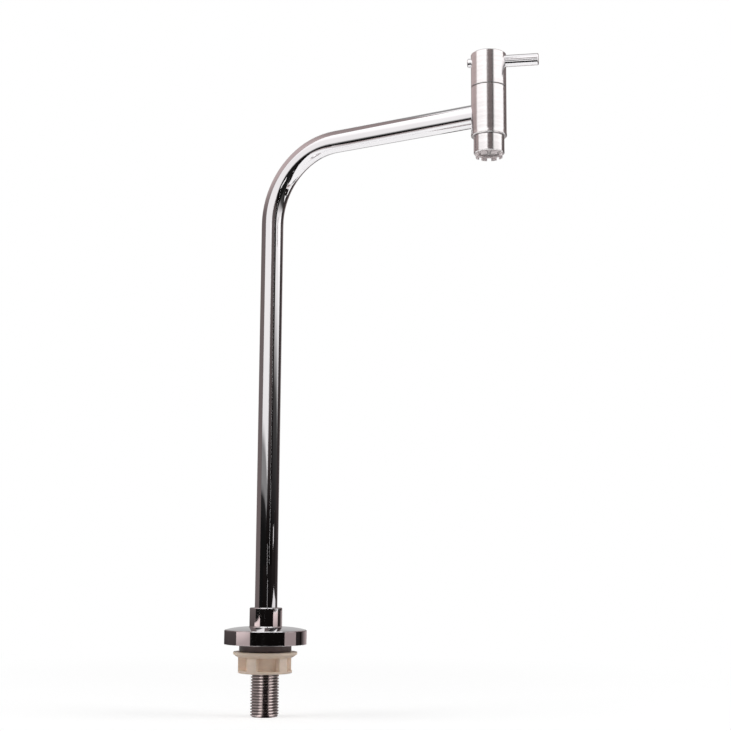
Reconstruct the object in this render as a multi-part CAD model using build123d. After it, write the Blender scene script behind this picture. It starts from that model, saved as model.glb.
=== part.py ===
"""High spout deck tap with its valve at the outlet head, in millimetres.

The origin lies on the column's axis at the deck plane, +Z is up and the arm
points along +X. The shank and the back nut hang below the deck plane.
"""

from build123d import *
from math import cos, radians, sin, sqrt
import os

# Driving dimensions of the spout
TUBE_OD = 16.0
TUBE_WALL = 1.2
ARM_HEIGHT = 364.5
REACH = 178.0
BEND_RADIUS = 55.0

# Driving dimensions of the base
FLANGE_OD = 58.5
FLANGE_RIM = 10.0
FLANGE_DOME = 2.0
DOME_RADIUS = 60.0
FLANGE_LIFT = 5.0
COLLAR_WALL = 2.55
COLLAR_HEIGHT = 13.5
GASKET_OD = 37.0
GASKET_SINK = 2.0
GASKET_BORE_PLAY = 0.3
HOLLOW_MARGIN = 2.0
BUSH_WALL = 0.9
CLIP_LEDGE = 1.42
SHANK_OD = 20.0
SHANK_BORE = 11.0
SHANK_BELOW_DECK = 45.0
SHANK_SCREWED_IN = 8.0
THREAD_PITCH = 2.0
THREAD_DEPTH = 1.1
SPIGOT_BORE = 10.0
SPIGOT_NECK = 8.0
THRUST_THICKNESS = 0.8

# Driving dimensions of the back nut
NUT_FLANGE_OD = 45.2
NUT_FLANGE_EDGE = 1.7
NUT_FLANGE_BEVEL = 2.0
NUT_OD = 38.2
NUT_HEIGHT = 14.7
NUT_SLEEVE_WALL = 3.4
NUT_POCKETS = 5
NUT_RIB_ANGLE = 22.0
NUT_LIP = 1.8
NUT_POCKET_TURN = -48.0

# Driving dimensions of the head
HEAD_OD = 24.0
HEAD_LIP_OD = 24.4
HEAD_BODY_HEIGHT = 34.2
HEAD_FLARE = 1.6
ARM_ABOVE_LIP = 16.3
HEAD_WALL = 2.7
HANDLE_HEIGHT = 23.6
HANDLE_GROOVE = 0.4
HANDLE_ROOF = 2.6
SLEEVE_WALL = 1.15
SLEEVE_DROP = 12.0
SLEEVE_NECK_WALL = 2.05
SLEEVE_NECK_LENGTH = 5.0
PASSAGE_BORE = 10.0

# Driving dimensions of the lever
LEVER_OD = 8.0
LEVER_TIP = 34.0
LEVER_TURN = 20.5
LEVER_COVER = 1.3
LEVER_SEAT_DEPTH = 3.5
LEVER_TAIL_OD = 5.0
PLUG_OD = 6.0
PLUG_STANDS_OUT = 2.4

# Driving dimensions of the quarter turn valve
CAGE_WALL = 1.3
CAGE_HEX_ABOVE_BODY = 4.0
CAGE_NECK_WALL = 2.4
CAGE_NECK_HEIGHT = 3.4
SPINDLE_OD = 7.6
SEAT_THICKNESS = 2.0
DISC_THICKNESS = 3.2
SEAL_THICKNESS = 1.6
WINDOW_HEIGHT = 6.5
WINDOW_ANGLE = 80.0
PORT_ANGLE = 70.0
NOTCH_ANGLE = 80.0
HANDLE_TURN_ANGLE = 90.0
STOP_TAB_ANGLE = 30.0
STOP_SLACK = 1.0
FLAT_DEPTH = 0.5
BLADE_WIDTH = 2.0
BLADE_DEPTH = 1.2
DRIVE_PLATE = 2.0
STOP_THICKNESS = 1.2

# Driving dimensions of the aerator
INSERT_OD = 18.4
INSERT_WALL = 1.1
INSERT_LENGTH = 10.6
INSERT_STANDS_OUT = 2.3
TEETH = 8
TOOTH_SHARE = 0.56
TEETH_TURN = 3.5
SCREEN_LEDGE = 0.9
SCREEN_SETBACK = 0.6
SCREEN_THICKNESS = 0.4
FLOW_DISC_THICKNESS = 1.8
FLOW_HOLES = 12
FLOW_HOLE_OD = 1.6
FLOW_OUTER_SHARE = 0.72
FLOW_INNER_SHARE = 0.36
SCREEN_RISE = 2.0
WASHER_THICKNESS = 1.2

# O-rings, clips and clearances
RING_CORD = 1.5
CLIP_THICKNESS = 1.0
CLIP_GAP_ANGLE = 50.0
RUNNING = 0.08
SEATED = 0.05
END_PLAY = 0.1
NUT_THREAD_PLAY = 0.1
EDGE = 0.5

# Heights above the deck plane
FLANGE_BOTTOM = FLANGE_LIFT
RIM_TOP = FLANGE_BOTTOM + FLANGE_RIM
DOME_TOP = RIM_TOP + FLANGE_DOME
COLLAR_TOP = DOME_TOP + COLLAR_HEIGHT
GASKET_TOP = FLANGE_BOTTOM + GASKET_SINK
SHANK_TOP = FLANGE_BOTTOM + SHANK_SCREWED_IN
LIP_Z = ARM_HEIGHT - ARM_ABOVE_LIP
BODY_TOP = LIP_Z + HEAD_BODY_HEIGHT
HANDLE_BOTTOM = BODY_TOP + HANDLE_GROOVE
HANDLE_TOP = HANDLE_BOTTOM + HANDLE_HEIGHT
LEVER_Z = HANDLE_TOP - LEVER_COVER - LEVER_OD / 2
SLEEVE_BOTTOM = LIP_Z - SLEEVE_DROP

# Radii used by more than one piece
TUBE_R = TUBE_OD / 2
TUBE_BORE_R = TUBE_R - TUBE_WALL
SHANK_R = SHANK_OD / 2
HEAD_R = HEAD_OD / 2
CHAMBER_R = HEAD_R - HEAD_WALL
SPINDLE_R = SPINDLE_OD / 2
CAGE_NECK_R = SPINDLE_R + CAGE_NECK_WALL
CAGE_R = CHAMBER_R - SEATED
CAGE_BORE_R = CAGE_R - CAGE_WALL
SEAL_R = CAGE_BORE_R - END_PLAY
INSERT_R = INSERT_OD / 2
HEAD_AXIS = Pos(REACH, 0, 0)

# Swivel in the collar, from the shank's end upwards
THRUST_TOP = SHANK_TOP + THRUST_THICKNESS
SPIGOT_BOTTOM = THRUST_TOP + END_PLAY
SPIGOT_R = TUBE_R
SWIVEL_BORE_R = SPIGOT_R + RUNNING
CLIP_BOTTOM = SPIGOT_BOTTOM + CLIP_THICKNESS / 2
CLIP_TOP = CLIP_BOTTOM + CLIP_THICKNESS
LEDGE_Z = CLIP_TOP + END_PLAY
CLIP_CHAMBER_R = SWIVEL_BORE_R + CLIP_LEDGE
RING_SPACING = 2 * RING_CORD + 3 * SEATED
LOWER_RING_Z = LEDGE_Z + RING_CORD
UPPER_RING_Z = LOWER_RING_Z + RING_SPACING
BUSH_BOTTOM = UPPER_RING_Z + RING_CORD
BUSH_TOP = COLLAR_TOP - EDGE
BUSH_R = SWIVEL_BORE_R + BUSH_WALL
SPIGOT_SHOULDER = BUSH_BOTTOM + RING_CORD

# Valve in the head, from the seat upwards
SKIRT_DEPTH = SLEEVE_NECK_LENGTH + WASHER_THICKNESS + 2 * SEATED
SEAT_Z = LIP_Z + SKIRT_DEPTH + SEAT_THICKNESS
PORT_TURN = LEVER_TURN + HANDLE_TURN_ANGLE
FIXED_DISC_BOTTOM = SEAT_Z + SEAL_THICKNESS
FIXED_DISC_TOP = FIXED_DISC_BOTTOM + DISC_THICKNESS
MOVING_DISC_BOTTOM = FIXED_DISC_TOP + SEATED
MOVING_DISC_TOP = MOVING_DISC_BOTTOM + DISC_THICKNESS
DRIVE_BOTTOM = MOVING_DISC_TOP + SEATED
DRIVE_TOP = DRIVE_BOTTOM + DRIVE_PLATE
WINDOW_BOTTOM = DRIVE_TOP
WINDOW_TOP = WINDOW_BOTTOM + WINDOW_HEIGHT
CAGE_BOTTOM = FIXED_DISC_BOTTOM - SEAL_THICKNESS / 2
CAGE_RING_Z = WINDOW_TOP + RING_CORD
CAGE_HEX_TOP = BODY_TOP + CAGE_HEX_ABOVE_BODY
CAGE_TOP = CAGE_HEX_TOP + CAGE_NECK_HEIGHT
SPINDLE_RING_Z = CAGE_TOP - 2 * RING_CORD
STOP_Z = CAGE_TOP + SEATED
STOP_RING_R = CAGE_NECK_R - CAGE_WALL
STOP_WASHER_R = STOP_RING_R - 2 * END_PLAY
SPINDLE_CLIP_Z = STOP_Z + STOP_THICKNESS + SEATED
SPINDLE_TOP = HANDLE_TOP - HANDLE_ROOF
HUB_BOTTOM = SPINDLE_CLIP_Z + CLIP_THICKNESS + 2 * END_PLAY
FLAT_R = SPINDLE_R - FLAT_DEPTH
LEVER_SHOULDER = HEAD_R - LEVER_SEAT_DEPTH

# Aerator, from its teeth upwards
TEETH_Z = SLEEVE_BOTTOM - INSERT_STANDS_OUT
INSERT_TOP = TEETH_Z + INSERT_LENGTH
INSERT_BORE_R = INSERT_R - INSERT_WALL
SCREEN_R = INSERT_BORE_R - SCREEN_LEDGE
NECK_R = SCREEN_R + SEATED + SLEEVE_NECK_WALL
OUTLET_SCREEN_Z = TEETH_Z + INSERT_STANDS_OUT + SCREEN_SETBACK
FLOW_DISC_Z = INSERT_TOP - 2 * FLOW_DISC_THICKNESS
WASHER_Z = INSERT_TOP + SEATED
SLEEVE_STEP = WASHER_Z + WASHER_THICKNESS + SEATED


def tube(outer_r, inner_r, bottom, top):
    """Straight ring around Z between two heights."""
    height = top - bottom
    ring = Cylinder(outer_r, height) - Cylinder(inner_r, height)
    return Pos(0, 0, bottom + height / 2) * ring


def rod(radius, bottom, top):
    """Solid cylinder around Z between two heights."""
    height = top - bottom
    return Pos(0, 0, bottom + height / 2) * Cylinder(radius, height)


def cross_rod(radius, start, end, height, turn=0.0):
    """Cylinder along a radius of the head, turned about its axis."""
    length = end - start
    bar = Pos(start + length / 2, 0, height) * Rot(0, 90, 0) * Cylinder(radius, length)
    return Rot(0, 0, turn) * bar


def sector(outer_r, angle, bottom, top, turn=0.0):
    """Wedge about Z that reaches past a radius, centred on a direction."""
    reach = outer_r + 2 * EDGE
    half = radians(angle / 2)
    start = (reach * cos(half), -reach * sin(half))
    end = (reach * cos(half), reach * sin(half))
    arc = ThreePointArc(start, (reach, 0), end)
    outline = make_face([Line((0, 0), start), arc, Line(end, (0, 0))])
    wedge = extrude(outline, amount=top - bottom)
    return Rot(0, 0, turn) * (Pos(0, 0, bottom) * wedge)


def o_ring(outer_r, height):
    """Ring of round cord that just clears the bore it seals."""
    middle_r = outer_r - RING_CORD / 2
    return Pos(0, 0, height) * Torus(middle_r, RING_CORD / 2)


def ring_groove(outer_r, height, wide_r):
    """Rectangular groove that an O-ring of this outer radius lies in."""
    floor_r = outer_r - RING_CORD - SEATED
    half = RING_CORD / 2 + SEATED
    return tube(wide_r, floor_r, height - half, height + half)


def split_ring(outer_r, inner_r, bottom, top):
    """Flat spring clip with a gap."""
    ring = tube(outer_r, inner_r, bottom, top)
    gap = sector(outer_r, CLIP_GAP_ANGLE, bottom, top, 180)
    return ring - gap


def revolve_profile(points):
    """Turned piece from its half section in the XZ plane."""
    face = make_face(Plane.XZ * Polyline(*points, close=True))
    return revolve(face, Axis.Z)


def make_base_flange():
    """Flange, low dome and collar turned as one, with the swivel's bores."""
    rim_r = FLANGE_OD / 2
    collar_r = BUSH_R + SEATED + COLLAR_WALL
    root_r = collar_r + EDGE
    with BuildPart() as flange:
        with BuildSketch(Plane.XZ):
            with BuildLine():
                Polyline(
                    (rim_r - EDGE, RIM_TOP),
                    (rim_r, RIM_TOP - EDGE),
                    (rim_r, FLANGE_BOTTOM),
                    (0, FLANGE_BOTTOM),
                    (0, COLLAR_TOP),
                    (collar_r - EDGE, COLLAR_TOP),
                    (collar_r, COLLAR_TOP - EDGE),
                    (collar_r, DOME_TOP + EDGE),
                    (root_r, DOME_TOP),
                )
                RadiusArc((root_r, DOME_TOP), (rim_r - EDGE, RIM_TOP), DOME_RADIUS)
            make_face()
        revolve(axis=Axis.Z)
    body = flange.part
    body -= rod(SHANK_R + SEATED, FLANGE_BOTTOM, SHANK_TOP)
    body -= rod(CLIP_CHAMBER_R, SHANK_TOP, LEDGE_Z)
    body -= rod(SWIVEL_BORE_R, LEDGE_Z, BUSH_BOTTOM)
    body -= rod(BUSH_R + SEATED, BUSH_BOTTOM, COLLAR_TOP)
    body -= rod(GASKET_OD / 2 + SEATED, FLANGE_BOTTOM, GASKET_TOP)
    hollow_outer = rim_r - HOLLOW_MARGIN
    hollow_inner = GASKET_OD / 2 + HOLLOW_MARGIN
    body -= tube(hollow_outer, hollow_inner, FLANGE_BOTTOM, FLANGE_BOTTOM + FLANGE_RIM / 2)
    return body


def make_deck_gasket():
    """Rubber ring, sunk a little way into the flange."""
    ring = tube(GASKET_OD / 2, SHANK_R + GASKET_BORE_PLAY, 0, GASKET_TOP)
    outer_edges = ring.edges().filter_by(GeomType.CIRCLE).group_by(Axis.Z)[0].sort_by(SortBy.RADIUS)
    return chamfer(outer_edges[-1], EDGE)


def thread_outline(bottom, top):
    """Crest and root points of the thread, one groove for each pitch."""
    root_r = SHANK_R - THREAD_DEPTH
    points = [(SHANK_R, bottom)]
    for turn in range(int((top - bottom) / THREAD_PITCH)):
        low = bottom + turn * THREAD_PITCH
        points.append((root_r, low + THREAD_PITCH / 2))
        points.append((SHANK_R, low + THREAD_PITCH))
    return points


def make_threaded_shank():
    """Hollow stud: below the deck its fine helix is drawn as turned grooves."""
    bore_r = SHANK_BORE / 2
    bottom = -SHANK_BELOW_DECK
    lead = 2 * EDGE
    outline = [(bore_r + lead, bottom), (SHANK_R - lead, bottom)]
    outline += thread_outline(bottom + lead, 0)
    outline += [(SHANK_R, SHANK_TOP), (bore_r, SHANK_TOP), (bore_r, bottom + lead)]
    return revolve_profile(outline)


def make_back_nut():
    """Moulded nut: bevelled flange, round body and cored pockets between ribs."""
    flange_r = NUT_FLANGE_OD / 2
    body_r = NUT_OD / 2
    bore_r = SHANK_R + NUT_THREAD_PLAY
    sleeve_r = bore_r + NUT_SLEEVE_WALL
    top = -2 * END_PLAY
    edge_z = top - NUT_FLANGE_EDGE
    bevel_z = edge_z - NUT_FLANGE_BEVEL
    bottom = top - NUT_HEIGHT
    outline = [
        (bore_r, top),
        (flange_r, top),
        (flange_r, edge_z),
        (body_r + EDGE, bevel_z),
        (body_r, bevel_z),
        (body_r, bottom + EDGE),
        (body_r - EDGE, bottom),
        (bore_r, bottom),
    ]
    nut = revolve_profile(outline)
    pocket_bottom = bottom + NUT_LIP
    pocket_angle = 360 / NUT_POCKETS - NUT_RIB_ANGLE
    pocket_ring = tube(body_r + EDGE, sleeve_r, pocket_bottom, bevel_z)
    for index in range(NUT_POCKETS):
        turn = NUT_POCKET_TURN + index * 360 / NUT_POCKETS
        wedge = sector(body_r, pocket_angle, pocket_bottom, bevel_z, turn)
        nut -= pocket_ring & wedge
    return nut


def make_swivel_bush():
    """Plastic bearing sleeve in the collar's mouth."""
    return tube(BUSH_R, SWIVEL_BORE_R, BUSH_BOTTOM + SEATED, BUSH_TOP)


def make_thrust_washer():
    """Slippery washer on the shank's end that the spigot stands on."""
    inner_r = SHANK_BORE / 2 + 2 * EDGE
    return tube(CLIP_CHAMBER_R - 2 * SEATED, inner_r, SHANK_TOP, THRUST_TOP)


def make_swivel_spigot():
    """Turned end piece brazed into the tube, with grooves for rings and clip."""
    bore_r = SPIGOT_BORE / 2
    spigot = tube(SPIGOT_R, bore_r, SPIGOT_BOTTOM, SPIGOT_SHOULDER)
    spigot += tube(TUBE_BORE_R - SEATED, bore_r, SPIGOT_SHOULDER, SPIGOT_SHOULDER + SPIGOT_NECK)
    for height in (LOWER_RING_Z, UPPER_RING_Z):
        spigot -= ring_groove(SPIGOT_R, height, SPIGOT_R + EDGE)
    clip_floor = SPIGOT_R - CLIP_THICKNESS
    spigot -= tube(SPIGOT_R + EDGE, clip_floor, CLIP_BOTTOM - SEATED, CLIP_TOP + SEATED)
    return spigot


def make_retaining_ring():
    """Split ring that sits in the spigot's groove, under the ledge."""
    outer_r = CLIP_CHAMBER_R - 2 * END_PLAY
    inner_r = SPIGOT_R - CLIP_THICKNESS + SEATED
    return split_ring(outer_r, inner_r, CLIP_BOTTOM, CLIP_TOP)


def make_spout_tube():
    """Column, bend and arm swept in one, coped where the arm meets the head."""
    bend_z = ARM_HEIGHT - BEND_RADIUS
    half = BEND_RADIUS * (1 - sqrt(0.5))
    column = Line((0, 0, SPIGOT_SHOULDER), (0, 0, bend_z))
    bend = ThreePointArc((0, 0, bend_z), (half, 0, ARM_HEIGHT - half), (BEND_RADIUS, 0, ARM_HEIGHT))
    arm = Line((BEND_RADIUS, 0, ARM_HEIGHT), (REACH, 0, ARM_HEIGHT))
    path = Wire([column, bend, arm])
    end = Plane((0, 0, SPIGOT_SHOULDER))
    section = end * (Circle(TUBE_R) - Circle(TUBE_BORE_R))
    pipe = sweep(section, path=path)
    cope = HEAD_AXIS * rod(socket_r() + SEATED, LIP_Z, BODY_TOP)
    return pipe - cope


def socket_r():
    """Distance from the head's axis to the floor of the arm's socket."""
    return HEAD_R - HEAD_WALL / 2


def make_head_body():
    """Turned head: skirt for the sleeve, seat, valve chamber, arm socket."""
    lip_r = HEAD_LIP_OD / 2
    outline = [
        (0, LIP_Z),
        (lip_r - EDGE, LIP_Z),
        (lip_r, LIP_Z + EDGE),
        (lip_r, LIP_Z + 2 * EDGE),
        (HEAD_R, LIP_Z + 2 * EDGE + HEAD_FLARE),
        (HEAD_R, BODY_TOP - EDGE / 2),
        (HEAD_R - EDGE / 2, BODY_TOP),
        (0, BODY_TOP),
    ]
    body = revolve_profile(outline)
    body -= rod(NECK_R + SEATED, LIP_Z, LIP_Z + SKIRT_DEPTH)
    body -= rod(PASSAGE_BORE / 2, LIP_Z, SEAT_Z)
    body -= rod(CHAMBER_R, SEAT_Z, BODY_TOP)
    seat_bore = cross_rod(TUBE_R + SEATED, -HEAD_OD, 0, ARM_HEIGHT)
    body -= seat_bore - rod(socket_r(), LIP_Z, BODY_TOP)
    body -= cross_rod(TUBE_BORE_R, -HEAD_OD, 0, ARM_HEIGHT)
    return HEAD_AXIS * body


def make_valve_cage():
    """Brass cage of the valve: windows at the side, hexagon and neck on top."""
    cage = rod(CAGE_R, CAGE_BOTTOM, BODY_TOP)
    hexagon = RegularPolygon(CAGE_R, 6)
    cage += Pos(0, 0, BODY_TOP) * extrude(hexagon, amount=CAGE_HEX_ABOVE_BODY)
    cage += rod(CAGE_NECK_R, CAGE_HEX_TOP, CAGE_TOP)
    cage -= rod(CAGE_BORE_R, CAGE_BOTTOM, WINDOW_TOP)
    cage -= rod(SPINDLE_R + RUNNING, WINDOW_TOP, CAGE_TOP)
    window_wedge = sector(CAGE_R, WINDOW_ANGLE, WINDOW_BOTTOM, WINDOW_TOP)
    for turn in (0, 180):
        cage -= Rot(0, 0, turn) * window_wedge
    cage -= ring_groove(CAGE_R, CAGE_RING_Z, CAGE_R + EDGE)
    stop_top = CAGE_TOP + STOP_THICKNESS
    stop_ring = tube(CAGE_NECK_R, STOP_RING_R, CAGE_TOP, stop_top)
    free_turn = LEVER_TURN + HANDLE_TURN_ANGLE / 2
    free_angle = HANDLE_TURN_ANGLE + STOP_TAB_ANGLE + 2 * STOP_SLACK
    cage += stop_ring - sector(CAGE_NECK_R, free_angle, CAGE_TOP, stop_top, free_turn)
    return HEAD_AXIS * cage


def flatted_rod(radius, flat_r, bottom, top):
    """Cylinder around Z with two flats square to the lever."""
    height = top - bottom
    slab = Pos(0, 0, bottom + height / 2) * Box(2 * flat_r, 3 * radius, height)
    return rod(radius, bottom, top) & (Rot(0, 0, LEVER_TURN) * slab)


def make_spindle():
    """Turned spindle: drive blade and plate, shoulder, ring groove, flats."""
    blade_length = 2 * (SPINDLE_R + 2 * BLADE_DEPTH)
    blade_z = DRIVE_BOTTOM - BLADE_DEPTH / 2
    blade = Pos(0, 0, blade_z) * Rot(0, 0, PORT_TURN) * Box(blade_length, BLADE_WIDTH, BLADE_DEPTH)
    plate = rod(CAGE_BORE_R - 2 * EDGE, DRIVE_BOTTOM, DRIVE_TOP)
    bow_tie = sector(CAGE_BORE_R, PORT_ANGLE, DRIVE_BOTTOM, DRIVE_TOP, PORT_TURN)
    bow_tie += sector(CAGE_BORE_R, PORT_ANGLE, DRIVE_BOTTOM, DRIVE_TOP, PORT_TURN + 180)
    shoulder_top = WINDOW_TOP - END_PLAY
    spindle = blade + (plate & bow_tie)
    spindle += rod(SPINDLE_R - 2 * EDGE, DRIVE_BOTTOM, shoulder_top)
    spindle += rod(SPINDLE_R + 2 * EDGE, shoulder_top - CLIP_THICKNESS, shoulder_top)
    spindle += rod(SPINDLE_R, shoulder_top, STOP_Z)
    spindle += flatted_rod(SPINDLE_R, FLAT_R, STOP_Z, SPINDLE_TOP)
    spindle -= ring_groove(SPINDLE_R, SPINDLE_RING_Z, SPINDLE_R + EDGE)
    groove_top = SPINDLE_CLIP_Z + CLIP_THICKNESS + SEATED
    spindle -= tube(SPINDLE_R + EDGE, clip_floor_r(), SPINDLE_CLIP_Z - SEATED, groove_top)
    return HEAD_AXIS * spindle


def clip_floor_r():
    """Floor of the spindle's clip groove."""
    return FLAT_R - FLAT_DEPTH


def make_stop_washer():
    """Tabbed washer keyed on the spindle's flats."""
    top = STOP_Z + STOP_THICKNESS
    washer = rod(STOP_WASHER_R, STOP_Z, top)
    tab_ring = rod(CAGE_NECK_R, STOP_Z, top)
    washer += tab_ring & sector(CAGE_NECK_R, STOP_TAB_ANGLE, STOP_Z, top, LEVER_TURN)
    washer -= flatted_rod(SPINDLE_R + SEATED, FLAT_R + SEATED, STOP_Z, top)
    return HEAD_AXIS * washer


def make_spindle_clip():
    """Split clip over the stop washer, in the spindle's groove."""
    clip_top = SPINDLE_CLIP_Z + CLIP_THICKNESS
    return HEAD_AXIS * split_ring(STOP_WASHER_R, clip_floor_r() + SEATED, SPINDLE_CLIP_Z, clip_top)


def make_handle():
    """Turned handle, hollow below, with a hub on the spindle's flats."""
    outline = [
        (0, HANDLE_BOTTOM),
        (HEAD_R - EDGE / 2, HANDLE_BOTTOM),
        (HEAD_R, HANDLE_BOTTOM + EDGE / 2),
        (HEAD_R, HANDLE_TOP - EDGE),
        (HEAD_R - EDGE, HANDLE_TOP),
        (0, HANDLE_TOP),
    ]
    handle = revolve_profile(outline)
    handle -= rod(CHAMBER_R + 2 * EDGE, HANDLE_BOTTOM, HUB_BOTTOM)
    hub_top = SPINDLE_TOP + END_PLAY
    handle -= flatted_rod(SPINDLE_R + SEATED, FLAT_R + SEATED, HUB_BOTTOM, hub_top)
    lever_seat = cross_rod(LEVER_OD / 2 + SEATED, LEVER_SHOULDER, HEAD_OD, LEVER_Z, LEVER_TURN)
    tail_hole = cross_rod(LEVER_TAIL_OD / 2 + SEATED, 0, LEVER_SHOULDER, LEVER_Z, LEVER_TURN)
    plug_hole = cross_rod(PLUG_OD / 2 + SEATED, 0, HEAD_OD, LEVER_Z, LEVER_TURN + 180)
    handle -= lever_seat + tail_hole + plug_hole
    return HEAD_AXIS * handle


def make_lever_pin():
    """Radial pin whose threaded tail clamps on the spindle's flat."""
    grip = cross_rod(LEVER_OD / 2, LEVER_SHOULDER, LEVER_TIP, LEVER_Z)
    tip_edge = grip.edges().filter_by(GeomType.CIRCLE).sort_by(Axis.X)[-1]
    grip = chamfer(tip_edge, EDGE)
    tail = cross_rod(LEVER_TAIL_OD / 2, FLAT_R + SEATED, LEVER_SHOULDER, LEVER_Z)
    return HEAD_AXIS * Rot(0, 0, LEVER_TURN) * (grip + tail)


def make_rear_plug():
    """Small button that closes the cross hole opposite the lever."""
    end = HEAD_R + PLUG_STANDS_OUT
    plug = cross_rod(PLUG_OD / 2, FLAT_R + SEATED, end, LEVER_Z)
    outer_edge = plug.edges().filter_by(GeomType.CIRCLE).sort_by(Axis.X)[-1]
    plug = chamfer(outer_edge, EDGE)
    return HEAD_AXIS * Rot(0, 0, LEVER_TURN + 180) * plug


def make_seat_seal():
    """Rubber ring between the seat and the fixed disc."""
    return HEAD_AXIS * tube(SEAL_R, PASSAGE_BORE / 2, SEAT_Z, FIXED_DISC_BOTTOM - SEATED)


def make_fixed_disc():
    """Ceramic disc with two ports, held in the cage."""
    disc = rod(CAGE_BORE_R - SEATED, FIXED_DISC_BOTTOM, FIXED_DISC_TOP)
    port_ring = tube(PASSAGE_BORE / 2, SPINDLE_R / 2, FIXED_DISC_BOTTOM, FIXED_DISC_TOP)
    for turn in (0, 180):
        port = sector(PASSAGE_BORE, PORT_ANGLE, FIXED_DISC_BOTTOM, FIXED_DISC_TOP, PORT_TURN + turn)
        disc -= port_ring & port
    return HEAD_AXIS * disc


def make_moving_disc():
    """Ceramic disc that covers the ports at rest and bares them when turned."""
    disc = rod(CAGE_BORE_R - 2 * END_PLAY, MOVING_DISC_BOTTOM, MOVING_DISC_TOP)
    outer = tube(CAGE_BORE_R + EDGE, SPINDLE_R / 2, MOVING_DISC_BOTTOM, MOVING_DISC_TOP)
    for turn in (0, 180):
        notch_turn = PORT_TURN - HANDLE_TURN_ANGLE + turn
        notch = sector(CAGE_BORE_R, NOTCH_ANGLE, MOVING_DISC_BOTTOM, MOVING_DISC_TOP, notch_turn)
        disc -= outer & notch
    slot_z = MOVING_DISC_TOP - BLADE_DEPTH / 2
    slot = Box(3 * CAGE_R, BLADE_WIDTH + 2 * SEATED, BLADE_DEPTH + 2 * SEATED)
    disc -= Pos(0, 0, slot_z) * Rot(0, 0, PORT_TURN) * slot
    return HEAD_AXIS * disc


def make_outlet_sleeve():
    """Chrome sleeve screwed into the head, holding the aerator insert."""
    sleeve_r = INSERT_R + SEATED + SLEEVE_WALL
    shoulder_z = LIP_Z - END_PLAY
    neck_top = LIP_Z + SLEEVE_NECK_LENGTH
    outline = [
        (INSERT_R + SEATED, SLEEVE_BOTTOM),
        (sleeve_r - EDGE, SLEEVE_BOTTOM),
        (sleeve_r, SLEEVE_BOTTOM + EDGE),
        (sleeve_r, shoulder_z),
        (NECK_R, shoulder_z),
        (NECK_R, neck_top),
        (SCREEN_R + SEATED, neck_top),
        (SCREEN_R + SEATED, SLEEVE_STEP),
        (INSERT_R + SEATED, SLEEVE_STEP),
    ]
    return HEAD_AXIS * revolve_profile(outline)


def make_sleeve_washer():
    """Flat seal between the sleeve's neck and the head."""
    bottom = LIP_Z + SLEEVE_NECK_LENGTH + SEATED
    return HEAD_AXIS * tube(NECK_R, SCREEN_R, bottom, bottom + WASHER_THICKNESS)


def make_aerator_insert():
    """Moulded insert: castellated rim, inner ledge and cross bars."""
    insert = tube(INSERT_R, INSERT_BORE_R, TEETH_Z, INSERT_TOP)
    ledge_bottom = OUTLET_SCREEN_Z - 2 * SCREEN_THICKNESS
    insert += tube(INSERT_BORE_R, SCREEN_R, ledge_bottom, OUTLET_SCREEN_Z)
    slot_angle = 360 / TEETH * (1 - TOOTH_SHARE)
    slot_top = TEETH_Z + INSERT_STANDS_OUT - EDGE / 2
    for index in range(TEETH):
        turn = TEETH_TURN + (index + 0.5) * 360 / TEETH
        insert -= sector(INSERT_R, slot_angle, TEETH_Z, slot_top, turn)
    return HEAD_AXIS * insert


def make_outlet_screen():
    """Woven steel screen, as a thin disc on the insert's ledge."""
    bottom = OUTLET_SCREEN_Z + SEATED
    return HEAD_AXIS * rod(INSERT_BORE_R - SEATED, bottom, bottom + SCREEN_THICKNESS)


def make_flow_disc():
    """Disc with two rings of holes that breaks up the stream."""
    top = FLOW_DISC_Z + FLOW_DISC_THICKNESS
    disc = rod(INSERT_BORE_R - SEATED, FLOW_DISC_Z, top)
    hole = rod(FLOW_HOLE_OD / 2, FLOW_DISC_Z, top)
    rings = ((FLOW_OUTER_SHARE, FLOW_HOLES), (FLOW_INNER_SHARE, FLOW_HOLES // 2))
    for share, count in rings:
        first = Pos(share * INSERT_BORE_R, 0, 0) * hole
        for index in range(count):
            disc -= Rot(0, 0, index * 360 / count) * first
    return HEAD_AXIS * disc


def cap_point(base_r, rise, base_z):
    """Point half way out on a spherical cap of this base radius and rise."""
    sphere_r = (base_r**2 + rise**2) / (2 * rise)
    half_way = base_r / 2
    return (half_way, base_z + rise - sphere_r + sqrt(sphere_r**2 - half_way**2))


def make_inlet_screen():
    """Domed strainer with a flat rim on top of the insert."""
    rim_top = INSERT_TOP - SEATED
    rim_bottom = rim_top - SCREEN_THICKNESS
    dome_r = SCREEN_R - 2 * EDGE
    with BuildPart() as screen:
        with BuildSketch(Plane.XZ):
            with BuildLine():
                Line((0, rim_bottom + SCREEN_RISE), (0, rim_top + SCREEN_RISE))
                upper = cap_point(dome_r, SCREEN_RISE, rim_top)
                ThreePointArc((0, rim_top + SCREEN_RISE), upper, (dome_r, rim_top))
                Polyline(
                    (dome_r, rim_top),
                    (INSERT_BORE_R - SEATED, rim_top),
                    (INSERT_BORE_R - SEATED, rim_bottom),
                    (dome_r, rim_bottom),
                )
                lower = cap_point(dome_r, SCREEN_RISE, rim_bottom)
                ThreePointArc((dome_r, rim_bottom), lower, (0, rim_bottom + SCREEN_RISE))
            make_face()
        revolve(axis=Axis.Z)
    return HEAD_AXIS * screen.part


def make_aerator_washer():
    """Rubber ring between the insert and the sleeve's step."""
    return HEAD_AXIS * tube(INSERT_R, SCREEN_R, WASHER_Z, WASHER_Z + WASHER_THICKNESS)


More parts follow.
